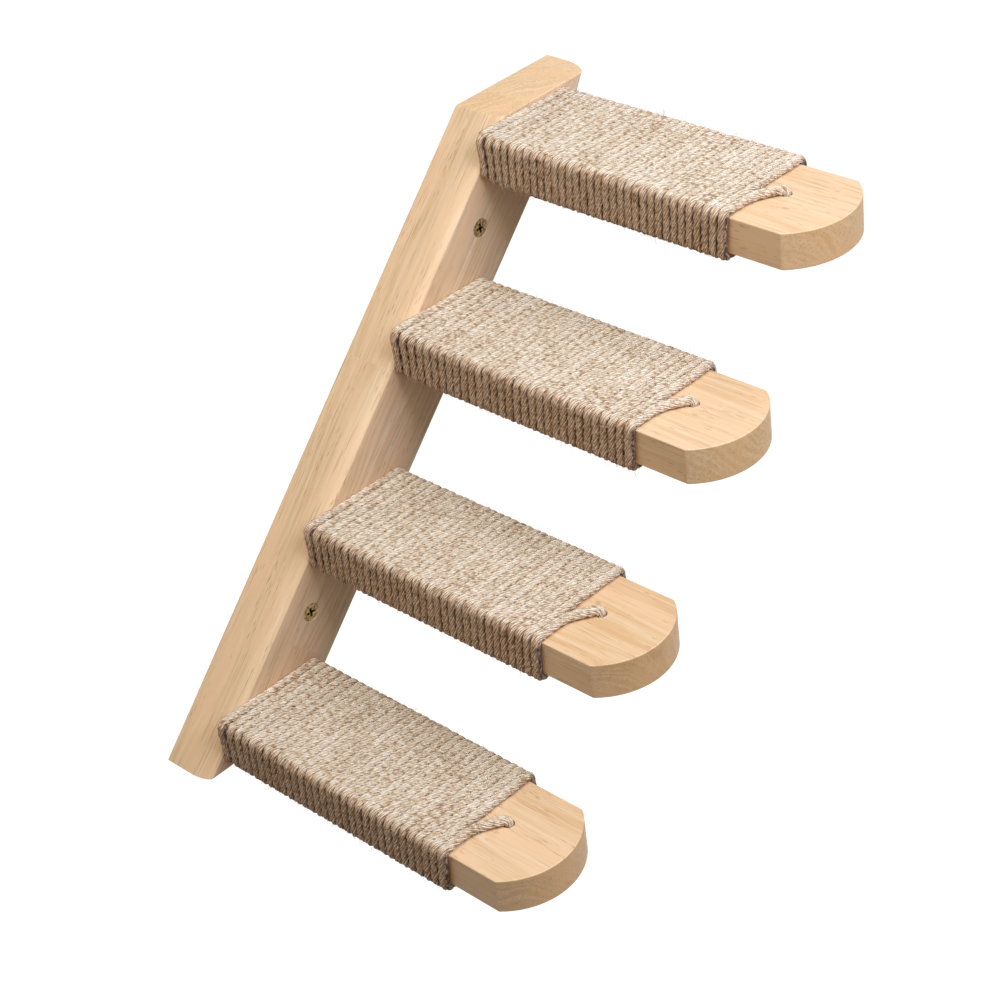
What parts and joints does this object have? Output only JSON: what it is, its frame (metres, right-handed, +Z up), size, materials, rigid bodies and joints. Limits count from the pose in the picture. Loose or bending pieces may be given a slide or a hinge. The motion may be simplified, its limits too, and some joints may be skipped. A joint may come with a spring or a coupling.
{
  "type": "cat climbing wall",
  "caption": "Leaning wooden board that screws to a wall and carries level, rope-wound wooden steps with rounded tips, one above the other, for a cat to climb.",
  "frame": {"origin": "middle of the board's flat back face, which lies on the wall", "axes": "+X out of the wall, along the steps; +Y level along the wall, towards the board's high end; +Z up"},
  "size_m": [0.2714, 0.3592, 0.2828],
  "materials": {
    "board_wood": "rubberwood, sanded, clear satin",
    "step_wood": "rubberwood, sanded, clear satin",
    "jute_rope": "laid jute, natural",
    "brassed_screw": "antique brass plated",
    "zinc_screw": "bright zinc plated"
  },
  "bodies": {
    "root": {"back_board": "board_wood", "step_1": "step_wood", "step_2": "step_wood", "step_3": "step_wood", "step_4": "step_wood", "step_1_rope": "jute_rope", "step_2_rope": "jute_rope", "step_3_rope": "jute_rope", "step_4_rope": "jute_rope", "upper_wall_screw": "brassed_screw", "lower_wall_screw": "brassed_screw", "step_1_low_screw": "zinc_screw", "step_1_high_screw": "zinc_screw", "step_2_low_screw": "zinc_screw", "step_2_high_screw": "zinc_screw", "step_3_low_screw": "zinc_screw", "step_3_high_screw": "zinc_screw", "step_4_low_screw": "zinc_screw", "step_4_high_screw": "zinc_screw"}
  },
  "joints": []
}
